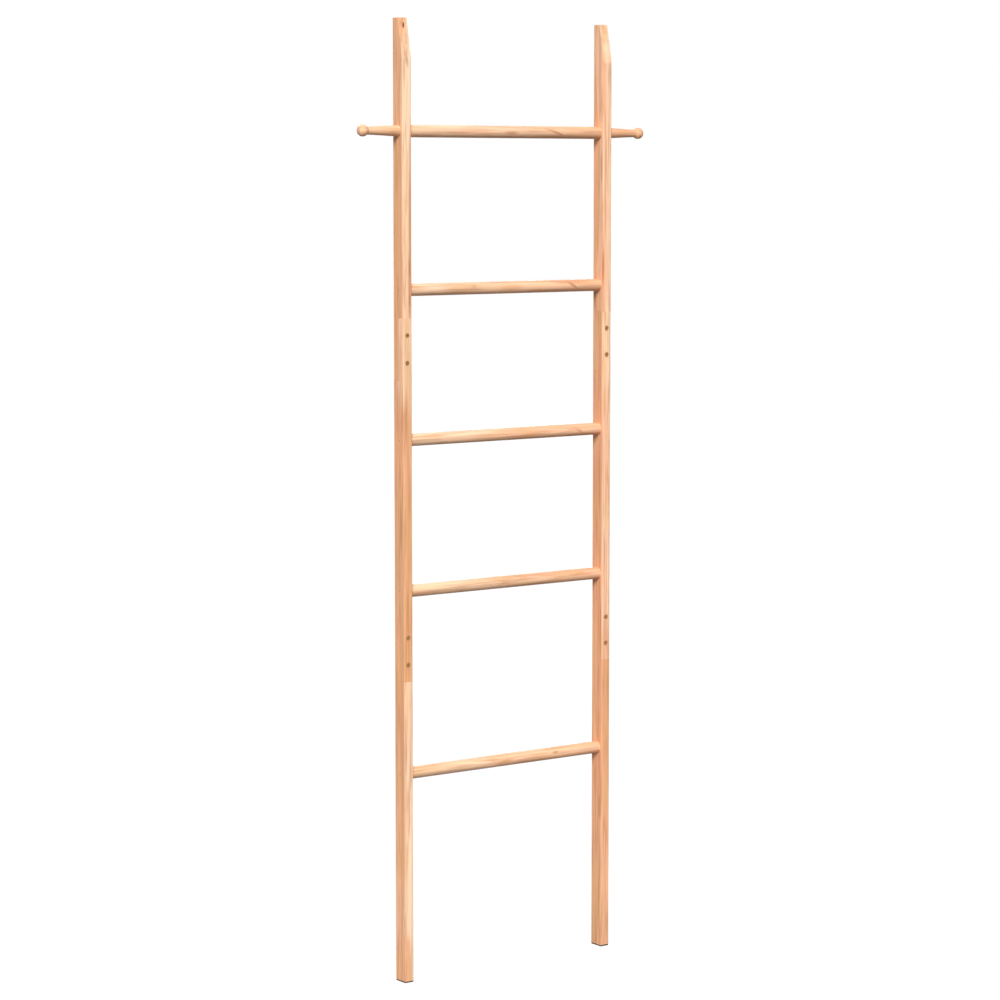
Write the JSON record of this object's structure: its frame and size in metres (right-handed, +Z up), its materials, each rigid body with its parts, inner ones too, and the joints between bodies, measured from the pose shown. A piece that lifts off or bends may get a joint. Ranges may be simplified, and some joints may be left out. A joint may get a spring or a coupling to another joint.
{
  "type": "blanket ladder",
  "caption": "Tall leaning ladder for blankets: two spliced timber rails, round rungs, and a ball-ended turned peg outside each rail at the top rung.",
  "frame": {"origin": "on the floor, midway between the two rails and at the middle of their depth", "axes": "+X along the rungs to the right, +Y to the rear, -Y the face with the splice screws and the cut rail heads, +Z up the rails"},
  "size_m": [0.6804, 0.032, 1.85],
  "materials": {
    "rail_wood": "planed softwood, clear matt oil",
    "rung_wood": "turned softwood, clear matt oil",
    "screw_bronze": "bronzed steel wood screw",
    "nail_steel": "dull brown nail",
    "pad_rubber": "dark brown non-slip pad"
  },
  "bodies": {
    "root": {"rail_left_lower": "rail_wood", "rail_left_middle": "rail_wood", "rail_left_upper": "rail_wood", "splice_screws_left_lower": "screw_bronze", "splice_screws_left_upper": "screw_bronze", "rung_nails_left": "nail_steel", "peg_left": "rung_wood", "foot_pad_left": "pad_rubber", "rail_right_lower": "rail_wood", "rail_right_middle": "rail_wood", "rail_right_upper": "rail_wood", "splice_screws_right_lower": "screw_bronze", "splice_screws_right_upper": "screw_bronze", "rung_nails_right": "nail_steel", "peg_right": "rung_wood", "foot_pad_right": "pad_rubber", "rung_top": "rung_wood", "rung_second": "rung_wood", "rung_third": "rung_wood", "rung_fourth": "rung_wood", "rung_bottom": "rung_wood"}
  },
  "joints": []
}
